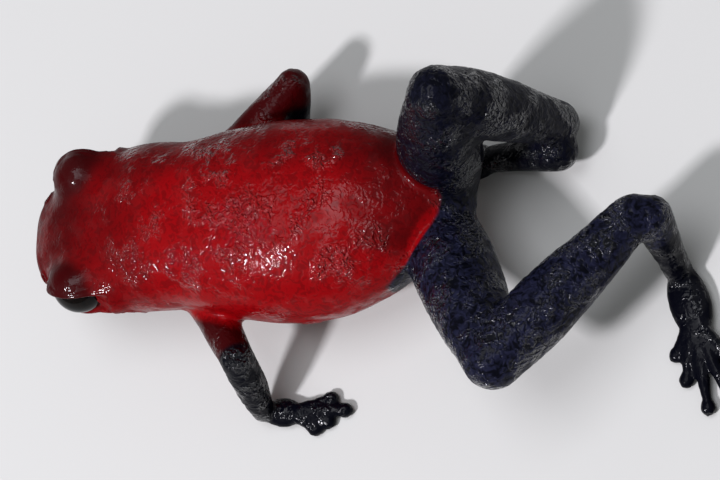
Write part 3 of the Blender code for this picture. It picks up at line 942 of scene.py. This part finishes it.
@dataclass(frozen=True)
class Colouring:
    """How the red, the blue and the dark spread over the body.

    Attributes:
        stance: How the body is carried.
        trunk: The head and trunk.
        limbs: The arms and legs.
        rear_edge: The station of the dark rump on the back, how fast its edge runs
            forward to the sides, and how far aside it goes on doing so.
        red_arm: Where the red of an upper arm starts to darken, as a share of it.
        arm_fade: How much of an upper arm the darkening takes, and where on the
            forearm it starts and ends, counted back from one whole arm.
        thigh_start: Where on a thigh its blue starts and is full.
        limb_reach: How far outside a bone its colour reaches, and how softly it ends.
        snout: How bright the red is on the snout, darker there partly by its own colour and partly as
            painted shade.
        rises: How much brighter it gets behind it, from which station to which.
        right_fall: How much darker it is on the right, as painted shade, from which side to which.
        rear_fall: How much darker it is in the rear, over which stations and sides.
        leg_light: How light the granules of each hind leg are painted, as painted light, the right one
            darker as painted shade.
        legs_from: From which station to which that painted light sets in.
    """

    stance: Stance
    trunk: Trunk
    limbs: list[Limb]
    rear_edge: Point = (19.9, 0.222, 3.4)
    red_arm: tuple[float, float] = (0.80, 0.98)
    arm_fade: Point = (0.3, 0.95, 0.55)
    thigh_start: tuple[float, float] = (0.08, 0.26)
    limb_reach: tuple[float, float] = (0.9, 0.6)
    snout: float = 0.26
    rises: tuple[Point, ...] = ((0.30, 2.0, 4.5), (0.44, 5.0, 8.5))
    right_fall: Point = (0.50, -0.8, -2.6)
    rear_fall: tuple[float, ...] = (0.62, 15.0, 18.5, 3.2, 1.6)
    leg_light: tuple[float, float] = (1.0, 0.3)
    legs_from: tuple[float, float] = (15.0, 17.0)

    def blueness(self, places: np.ndarray) -> np.ndarray:
        """Return how blue each point is, from 0 on the body to 1 on the limbs.

        Args:
            places: The points.

        Returns:
            The share of blue of each.
        """
        body = self.stance.unbend(places)
        from_trunk = self.trunk.outside(body)
        rear, curve, widest = self.rear_edge
        rump = rear - curve * np.minimum(np.abs(body[:, 0]), widest) ** 2
        blue = smoothstep(body[:, 1] - rump, -0.35, 0.35)
        outside = smoothstep(from_trunk, 0.10, 0.50)
        fade, start, end = self.arm_fade
        reach, soft = self.limb_reach
        for limb in self.limbs:
            red_to = limb.end.side.pick(self.red_arm)
            for bone in limb.bones():
                gap, share = bone.distance(places)
                near = smoothstep(reach - gap, 0.0, soft) * outside
                if bone.name.startswith("upper_arm"):
                    near = smoothstep(from_trunk - gap, 0.0, 0.5)
                    near = near * smoothstep(share, red_to, red_to + fade)
                elif bone.name.startswith("forearm"):
                    near = near * smoothstep(share, red_to - start, red_to - end)
                elif bone.name.startswith("thigh"):
                    near = smoothstep(from_trunk - gap, 0.05, 0.45) * outside
                    near = near * smoothstep(share, *self.thigh_start)
                blue = np.maximum(blue, near)
        return np.clip(blue, 0.0, 1.0)

    def tone(self, places: np.ndarray) -> np.ndarray:
        """Return how bright each point is, from the dark head and arms to the flanks.

        Args:
            places: The points.

        Returns:
            The brightness of each, from 0 to 1; the darker head is partly painted shade, and the darker
            right side and right leg are painted shade.
        """
        body = self.stance.unbend(places)
        side, station = body[:, 0], body[:, 1]
        # The head is darker, partly by its own colour and partly as painted shade.
        tone = np.full(len(places), self.snout)
        for gain, start, end in self.rises:
            tone = tone + gain * smoothstep(station, start, end)
        # Painted shade: the right side is darker.
        loss, start, end = self.right_fall
        tone *= 1.0 - loss * smoothstep(side, start, end)
        loss, start, end, outer, inner = self.rear_fall
        tone *= 1.0 - loss * smoothstep(station, start, end) * smoothstep(side, outer, inner)
        tone *= 1.0 - smoothstep(self.trunk.outside(body), 0.1, 0.6)
        # Painted light on the hind legs' granules towards the rear, weaker on the right leg as painted
        # shade.
        behind = smoothstep(station, *self.legs_from)
        for limb in self.limbs:
            light = limb.end.side.pick(self.leg_light)
            for run in limb.runs:
                if run.name.startswith(("thigh", "shank")):
                    gap = run.distance(places)[0] + run.radius - max(run.radii)
                    tone = np.maximum(tone, light * smoothstep(gap, 0.5, 0.1) * behind)
        return tone


@dataclass(frozen=True)
class Grain:
    """The relief of the skin: curled wrinkles, round granules and slow swells.

    Attributes:
        patch: The scale and the offset of the patches that are rough.
        wrinkle: The scale, the sharpness and the height of the wrinkles.
        warp: The scale and the strength of what curls them.
        granule: The scale, the radius and the height of the granules.
        swell: The scale, the offset and the height of the swells.
        floor: The depth of the hollows between wrinkles, as a share.
    """

    patch: tuple[float, Point] = (0.6, (3.0, 9.0, 4.0))
    wrinkle: Point = (2.1, 2.6, 0.022)
    warp: tuple[float, float] = (1.5, 0.9)
    granule: Point = (3.6, 0.60, 0.020)
    swell: tuple[float, Point, float] = (0.8, (11.0, 2.0, 5.0), 0.03)
    floor: float = -0.2

    def read(self, places: np.ndarray) -> np.ndarray:
        """Read the relief at each point.

        Args:
            places: The points, one a row.

        Returns:
            The patch, the fine relief and the swell, each in a row of its own.
        """
        patch_scale, patch_offset = self.patch[0], Vector(self.patch[1])
        swell_scale, swell_offset, swell_height = self.swell[0], Vector(self.swell[1]), self.swell[2]
        scale, sharpness, height = self.wrinkle
        warp_scale, warp = self.warp
        granule_scale, radius, granule_height = self.granule
        rows = []
        for place in places:
            spot = Vector(place)
            curled = spot * scale + noise.noise_vector(spot * warp_scale) * warp
            wrinkle = 1.0 - abs(noise.noise(curled)) * sharpness
            dome = 1.0 - (noise.voronoi(spot * granule_scale)[0][0] / radius) ** 2
            rows.append((
                noise.noise(spot * patch_scale + patch_offset),
                height * max(wrinkle, self.floor) + granule_height * max(0.0, dome),
                swell_height * noise.noise(spot * swell_scale + swell_offset)))
        return np.array(rows).T


@dataclass
class Skin:
    """The one skin over head, trunk and limbs.

    Attributes:
        stance: How the body is carried.
        trunk: The head and trunk.
        face: The head's features.
        limbs: The arms and legs.
        shift: From the model's own millimetres to the frame's.
        finish: The skin's material.
        voxel: The size of the fused mesh's faces.
        smoothing: How often the fused mesh is smoothed.
        web_reach: How far round a joint the skin is smoothed more.
        web_smoothing: How often it is smoothed there.
        brow_smoothing: How often the skin round the brows is smoothed.
        marks: The side, station and rise of each small pit, its radius and depth.
        smooth_head: From which station to which the head's smooth skin turns grainy.
        smooth_hands: From which height to which the hands' and feet's does.
        smooth_flank: From which side to which the back's grain ends on the left.
    """

    stance: Stance
    trunk: Trunk
    face: Face
    limbs: list[Limb]
    shift: Vector
    finish: SkinFinish
    voxel: float = 0.124
    smoothing: int = 5
    web_reach: float = 1.9
    web_smoothing: int = 4
    brow_smoothing: int = 60
    marks: tuple[tuple[Point, float, float], ...] = (
        ((2.61, 6.80, 2.05), 0.16, 0.05),
        ((4.18, 13.60, -0.33), 0.24, 0.12),
    )
    smooth_head: tuple[float, float] = (4.0, 8.0)
    smooth_hands: tuple[float, float] = (0.5, 1.6)
    smooth_flank: tuple[float, float] = (2.6, 3.6)

    def fused(self) -> bmesh.types.BMesh:
        """Fuse all forms into one closed, smooth mesh that stands on flats.

        Returns:
            The mesh, in the model's own millimetres.
        """
        clay = Clay()
        self.trunk.model(clay)
        self.face.model(clay)
        for limb in self.limbs:
            limb.model(clay)
        item = bpy.data.objects.new("clay", clay.mesh("clay"))
        bpy.context.scene.collection.objects.link(item)
        remesh = item.modifiers.new("fuse", "REMESH")
        remesh.mode = "VOXEL"
        remesh.voxel_size = self.voxel
        smooth = item.modifiers.new("smooth", "SMOOTH")
        smooth.factor = 0.5
        smooth.iterations = self.smoothing
        graph = bpy.context.evaluated_depsgraph_get()
        mesh = bpy.data.meshes.new_from_object(item.evaluated_get(graph))
        bpy.data.objects.remove(item, do_unlink=True)
        bm = bmesh.new()
        bm.from_mesh(mesh)
        bpy.data.meshes.remove(mesh)
        self.soften_webs(bm)
        bmesh.ops.bisect_plane(
            bm, geom=[*bm.verts, *bm.edges, *bm.faces], dist=SPLIT_DEPTH,
            plane_co=(0, 0, 0), plane_no=(0, 0, 1), clear_inner=True)
        bmesh.ops.holes_fill(bm, edges=[edge for edge in bm.edges if edge.is_boundary], sides=0)
        return bm

    def soften_webs(self, bm: bmesh.types.BMesh) -> None:
        """Smooth the skin where limbs leave the trunk or bend.

        Args:
            bm: The fused mesh.
        """
        places = read_places(bm)
        near = np.zeros(len(places), dtype=bool)
        for limb in self.limbs:
            for run in limb.runs:
                near |= np.linalg.norm(places - np.array(run.near), axis=1) < self.web_reach
        brow = self.round_eyes(places, 1.35, math.inf, self.face.eye_radius * 2.6)
        brow &= places[:, 2] > self.face.eye_centre(Side.LEFT).z - 0.5
        for chosen, times in ((near, self.web_smoothing), (brow, self.brow_smoothing)):
            verts = [vert for vert, taken in zip(bm.verts, chosen) if taken]
            for _ in range(times):
                bmesh.ops.smooth_vert(
                    bm, verts=verts, factor=0.5, use_axis_x=True, use_axis_y=True, use_axis_z=True)

    def refine(self, bm: bmesh.types.BMesh, spots: Sequence[np.ndarray]) -> None:
        """Split the faces where the head carries fine forms.

        Args:
            bm: The fused mesh.
            spots: The places of nostrils and ears.
        """
        places = read_places(bm)
        body = self.stance.unbend(places)
        off = np.abs(body[:, 2] - self.face.mouth_rise(body[:, 1]))
        fine = (off < 0.42) & (body[:, 1] < self.face.mouth_end + 0.5) & (places[:, 2] > 1.2)
        for spot in spots:
            fine |= np.linalg.norm(places - spot, axis=1) < self.face.ear_radius + 0.25
        self.split(bm, fine, 1)
        places = read_places(bm)
        self.split(bm, self.round_eyes(places, 0.75, 1.5, self.face.eye_radius + 0.6), 2)

    def round_eyes(self, places: np.ndarray, low: float, high: float, reach: float) -> np.ndarray:
        """Choose the points in a ring round the opening of either eye's lids.

        Args:
            places: The points.
            low: The ring's inner edge, as a share of the opening.
            high: Its outer edge.
            reach: How far from the eye's middle it ends.

        Returns:
            Which points are chosen.
        """
        chosen = np.zeros(len(places), dtype=bool)
        for side in Side:
            share, distance = self.face.lid_share(side, places)
            chosen |= (share > low) & (share < high) & (distance < reach)
        return chosen

    def split(self, bm: bmesh.types.BMesh, chosen: np.ndarray, cuts: int) -> None:
        """Split the edges between chosen vertices.

        Args:
            bm: The mesh.
            chosen: Which vertices are chosen.
            cuts: How often each edge is cut.
        """
        bm.verts.index_update()
        edges = [edge for edge in bm.edges if all(chosen[vert.index] for vert in edge.verts)]
        bmesh.ops.subdivide_edges(bm, edges=edges, cuts=cuts, use_grid_fill=True)

    def carve_lids(self, places: np.ndarray) -> np.ndarray:
        """Open the lids and give them an edge and a fold.

        Args:
            places: The vertices.

        Returns:
            The moved vertices.
        """
        face = self.face
        for side in Side:
            share, distance = face.lid_share(side, places)
            inner, edge = face.eye_radius - 0.16, face.eye_radius + face.lid_thickness
            wall = smoothstep(share, 0.985, 1.05)
            centre = np.array(face.eye_centre(side))
            upper = smoothstep(places[:, 2], centre[2] - 0.3, centre[2] + 0.5)
            fold = upper * bell(share - 1.42, 0.12)
            reach = np.maximum(distance, edge)
            reach += wall * (face.lid_rim * bell(share - 1.10, 0.07) - face.lid_fold * fold)
            target = inner + (reach - inner) * wall
            near = distance < face.eye_radius + 0.9
            factor = np.where(near, target / np.maximum(distance, 0.1), 1.0)
            places = centre + (places - centre) * factor[:, None]
        return places

    def carve_face(
        self, places: np.ndarray, spots: Sequence[np.ndarray],
    ) -> tuple[np.ndarray, np.ndarray]:
        """Work out the relief of the mouth, nostrils and ears.

        Args:
            places: The vertices.
            spots: The places of the nostrils, then of the ears.

        Returns:
            How far each vertex moves outwards, and how deep in a crease it lies, as the share of painted
            shade there.
        """
        face = self.face
        body = self.stance.unbend(places)
        station, rise = body[:, 1], body[:, 2]
        front = smoothstep(station, face.mouth_end + 0.2, face.mouth_end - 0.5)
        off = rise - face.mouth_rise(station)
        (half, depth), (upper, upper_half), (lower, lower_half) = face.mouth_line, *face.lips
        line = bell(off, half) * front
        lips = (bell(off - upper, upper_half) + bell(off - lower, lower_half)) * front
        move = face.lip_height * lips - depth * line
        # Painted shade mask: darkest in the line between the lips, the nostril pits, inside the ears'
        # rims and in the small pits.
        crease = line.copy()
        for spot in spots[:2]:
            gap = np.linalg.norm(places - spot, axis=1)
            pit = bell(gap, face.pit[0])
            ring, half, height = face.pit_rim
            move += height * bell(gap - ring, half) - face.pit[1] * pit
            crease = np.maximum(crease, pit)
        for spot in spots[2:]:
            gap = np.linalg.norm(places - spot, axis=1)
            half, height, dish, depth = face.ear_form
            move += height * bell(gap - face.ear_radius, half)
            move -= depth * smoothstep(gap, face.ear_radius, face.ear_radius - dish)
            crease = np.maximum(crease, 0.35 * bell(gap - face.ear_radius + 0.14, 0.08))
        here = smoothstep(station, self.stance.neck - 0.2, self.stance.neck - 0.7)
        here = here * smoothstep(places[:, 2], 1.1, 1.4)
        move, crease = move * here, crease * here
        for mark, radius, depth in self.marks:
            gap = np.linalg.norm(body - np.array(mark), axis=1)
            move += depth * (0.5 * bell(gap - 1.7 * radius, 0.6 * radius) - bell(gap, radius))
            crease = np.maximum(crease, bell(gap, radius))
        return move, crease

    def granules(
        self, places: np.ndarray, normals: np.ndarray, blue: np.ndarray,
    ) -> tuple[np.ndarray, np.ndarray]:
        """Work out the relief of the granular skin.

        Args:
            places: The vertices.
            normals: Their normals.
            blue: How blue each is.

        Returns:
            How far each vertex moves outwards, and how grainy it is.
        """
        body = self.stance.unbend(places)
        upper = smoothstep(normals[:, 2], -0.3, 0.6)
        head = smoothstep(body[:, 1], *self.smooth_head)
        hands = smoothstep(places[:, 2], *self.smooth_hands)
        patch, relief, swell = Grain().read(places)
        back = upper * (0.05 + 0.95 * head) * (0.10 + 0.90 * smoothstep(patch, -0.20, 0.20))
        back = back * (1.0 - 0.85 * smoothstep(body[:, 0], *self.smooth_flank))
        grain = (1 - blue) * back + blue * (0.20 + 1.00 * hands) * (0.4 + 0.6 * upper)
        return relief * grain + swell * hands, grain

    def build(self) -> bpy.types.Object:
        """Build the skin and dress it.

        Returns:
            The skin's object.
        """
        bm = self.fused()
        tree = BVHTree.FromBMesh(bm)
        spots = self.face.spots(tree)
        self.refine(bm, spots)
        write_places(bm, self.carve_lids(read_places(bm)))
        bmesh.ops.recalc_face_normals(bm, faces=bm.faces)
        bm.normal_update()
        places = read_places(bm)
        normals = np.array([vert.normal for vert in bm.verts])
        colouring = Colouring(self.stance, self.trunk, self.limbs)
        blue, tone = colouring.blueness(places), colouring.tone(places)
        feature, crease = self.carve_face(places, spots)
        relief, grain = self.granules(places, normals, blue)
        relief[self.round_eyes(places, -math.inf, 1.25, self.face.eye_radius + 0.5)] = 0.0
        flat = smoothstep(places[:, 2], 0.02, 0.15)
        places = places + normals * ((feature + relief) * flat)[:, None]
        places = (places + np.array(self.shift)) * MM
        places = np.clip(places, np.array(CAD_BOX[0]), np.array(CAD_BOX[1]))
        write_places(bm, places)
        masks = {Zone.BLUE: blue, Zone.CREASE: crease, Zone.GRAIN: grain, Zone.TONE: tone}
        item = add_piece(bm, "frog_skin", masks)
        item.data.materials.append(self.finish.material("moist_skin"))
        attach(item, "root")
        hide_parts(*self.nodes())
        return item

    def nodes(self) -> list[str]:
        """Return the frame's nodes that the skin stands for."""
        names = {bone.name for limb in self.limbs for bone in limb.bones()}
        return ["head", "torso", *sorted(names)]


def add_piece(
    bm: bmesh.types.BMesh, name: str, masks: dict[Zone, Sequence[float]],
) -> bpy.types.Object:
    """Put a finished mesh into the scene as an object of its own.

    Args:
        bm: The mesh, which is freed.
        name: The object's name.
        masks: The masks that its vertices carry.

    Returns:
        The object.
    """
    mesh = bpy.data.meshes.new(name)
    bm.to_mesh(mesh)
    bm.free()
    for zone, values in masks.items():
        layer = mesh.attributes.new(zone.value, "FLOAT", "POINT")
        layer.data.foreach_set("value", np.asarray(values, dtype=np.float32))
    mesh.shade_smooth()
    item = bpy.data.objects.new(name, mesh)
    bpy.context.scene.collection.objects.link(item)
    return item


def read_places(bm: bmesh.types.BMesh) -> np.ndarray:
    """Return the vertices of a mesh, one a row."""
    return np.array([vert.co for vert in bm.verts])


def write_places(bm: bmesh.types.BMesh, places: np.ndarray) -> None:
    """Move the vertices of a mesh to the given places."""
    for vert, place in zip(bm.verts, places):
        vert.co = place


@dataclass
class Eye:
    """One eyeball, with its pupil and iris marked on it.

    Attributes:
        side: The frog's side.
        face: Where the eye lies.
        shift: From the model's own millimetres to the frame's.
        finish: The eye's material.
        gaze: The direction in which the left eye looks.
        pupil: Half the pupil's width and height, as shares of the radius.
        iris: The iris's radius, as a share of the eyeball's.
    """

    side: Side
    face: Face
    shift: Vector
    finish: EyeFinish
    gaze: Point = (0.9, -0.16, 0.22)
    pupil: tuple[float, float] = (0.42, 0.30)
    iris: float = 0.80

    def build(self) -> bpy.types.Object:
        """Build the eye and dress it.

        Returns:
            The eye's object.
        """
        bm = bmesh.new()
        bmesh.ops.create_uvsphere(bm, u_segments=64, v_segments=48, radius=1.0)
        tone = []
        for vert in bm.verts:
            pupil = math.hypot(vert.co.x / self.pupil[0], vert.co.y / self.pupil[1])
            ring = math.hypot(vert.co.x, vert.co.y) / self.iris
            tone.append(1.0 if vert.co.z > 0 and pupil > 1.0 > ring else 0.0)
        radius = self.face.eye_radius
        bmesh.ops.scale(bm, vec=(radius, radius, radius), verts=bm.verts)
        across, along, up = self.gaze
        axis = Vector((self.side.value * across, along, up))
        turn = axis.to_track_quat("Z", "Y").to_matrix().to_4x4()
        bmesh.ops.transform(bm, matrix=turn, verts=bm.verts)
        bmesh.ops.translate(bm, vec=self.face.eye_centre(self.side) + self.shift, verts=bm.verts)
        bmesh.ops.scale(bm, vec=(MM, MM, MM), verts=bm.verts)
        bmesh.ops.recalc_face_normals(bm, faces=bm.faces)
        name = f"eyeball_{self.side.word}"
        item = add_piece(bm, name, {Zone.TONE: tone})
        item.data.materials.append(self.finish.material(name))
        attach(item, "root")
        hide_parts(f"eye_{self.side.word}")
        return item


@dataclass(frozen=True)
class Lamp:
    """A soft square light.

    Attributes:
        name: Its name.
        way: The direction in which it hangs from the frog.
        distance: How far away it hangs, in metres.
        size: The length of its side, in metres.
        watts: Its power.
        colour: Its colour.
    """

    name: str
    way: Point
    distance: float
    size: float
    watts: float
    colour: Point

    def hang(self) -> None:
        """Hang the light and aim it at the frog."""
        light = bpy.data.lights.new(self.name, "AREA")
        light.shape = "SQUARE"
        light.size = self.size
        light.energy = self.watts
        light.color = self.colour
        item = bpy.data.objects.new(self.name, light)
        item.location = Vector(self.way).normalized() * self.distance
        item.rotation_euler = Vector(self.way).to_track_quat("Z", "Y").to_euler()
        bpy.context.scene.collection.objects.link(item)


@dataclass(frozen=True)
class Studio:
    """The pale floor, the soft lights and the camera.

    Attributes:
        shift: From the model's own millimetres to the frame's.
        target: The point that the camera looks at, in the model's own millimetres.
        right: The direction that is to the right in the picture.
        back: The direction from the target to the camera.
        distance: How far away the camera stands, in millimetres.
        focal: The focal length in the picture's pixels.
        picture: The picture's width in pixels.
        sensor: The sensor's width in millimetres.
        floor_size: Half the floor's width in metres.
        floor_colour: Its colour.
        floor_roughness: Its roughness.
        lamps: The lights.
        air: The strength of the light from all round.
        air_colour: Its colour.
    """

    shift: Vector
    target: Point = (0.943, 5.398, 4.0)
    right: Point = (-0.0326, 0.9201, -0.3904)
    back: Point = (0.183, 0.3895, 0.9027)
    distance: float = 120.0
    focal: float = 2812.1
    picture: float = 720.0
    sensor: float = 36.0
    floor_size: float = 3.0
    floor_colour: Colour = (0.62, 0.62, 0.60, 1.0)
    floor_roughness: float = 0.85
    lamps: tuple[Lamp, ...] = (
        Lamp("key_light", (0.47, -0.36, 0.80), 0.35, 0.04, 1.05, (0.96, 0.94, 1.0)),
        Lamp("sky_light", (-0.10, -0.05, 1.0), 0.40, 0.22, 0.60, (0.93, 0.94, 1.0)),
    )
    air: float = 0.30
    air_colour: Colour = (0.80, 0.82, 0.84, 1.0)

    def floor(self) -> None:
        """Lay the plain pale floor."""
        bm = bmesh.new()
        bmesh.ops.create_grid(bm, x_segments=1, y_segments=1, size=self.floor_size)
        item = add_piece(bm, "studio_floor", {})
        material, shader = new_material("pale_floor")
        shader.inputs["Base Color"].default_value = self.floor_colour
        shader.inputs["Roughness"].default_value = self.floor_roughness
        item.data.materials.append(material)

    def lights(self) -> None:
        """Hang the lights and set the pale surroundings."""
        for lamp in self.lamps:
            lamp.hang()
        world = bpy.data.worlds.new("studio_air")
        world.use_nodes = True
        around = world.node_tree.nodes["Background"]
        around.inputs["Color"].default_value = self.air_colour
        around.inputs["Strength"].default_value = self.air
        bpy.context.scene.world = world
        bpy.context.scene.view_settings.view_transform = "Standard"

    def camera(self) -> None:
        """Place the camera at the photograph's viewing angle."""
        back = Vector(self.back).normalized()
        right = Vector(self.right)
        right = (right - back * right.dot(back)).normalized()
        turn = Matrix((right, back.cross(right), back)).transposed()
        data = bpy.data.cameras.new("photo_camera")
        data.sensor_width = self.sensor
        data.lens = self.focal / self.picture * self.sensor
        data.clip_start = 0.001
        item = bpy.data.objects.new("photo_camera", data)
        place = (Vector(self.target) + self.shift + back * self.distance) * MM
        item.matrix_world = Matrix.Translation(place) @ turn.to_4x4()
        bpy.context.scene.collection.objects.link(item)
        bpy.context.scene.camera = item


def frame_shift(face: Face) -> Vector:
    """Return the shift from the model's own millimetres to the frame's."""
    low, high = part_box("eye_left")
    middle = (Vector(low) + Vector(high)) / 2 / MM
    return middle - face.eye_centre(Side.LEFT)


def main() -> None:
    """Build the frog and its studio."""
    logging.basicConfig(level=logging.INFO, format="%(name)s: %(message)s")
    stance = Stance()
    face = Face(stance)
    shift = frame_shift(face)
    limbs = [arm(Side.LEFT), arm(Side.RIGHT), leg(Side.LEFT), leg(Side.RIGHT)]
    skin = Skin(stance, Trunk(stance), face, limbs, shift, SkinFinish()).build()
    log.info("%s has %d faces", skin.name, len(skin.data.polygons))
    for side in Side:
        eye = Eye(side, face, shift, EyeFinish()).build()
        log.info("%s has %d faces", eye.name, len(eye.data.polygons))
    studio = Studio(shift)
    studio.floor()
    studio.lights()
    studio.camera()


if __name__ == "__main__":
    main()
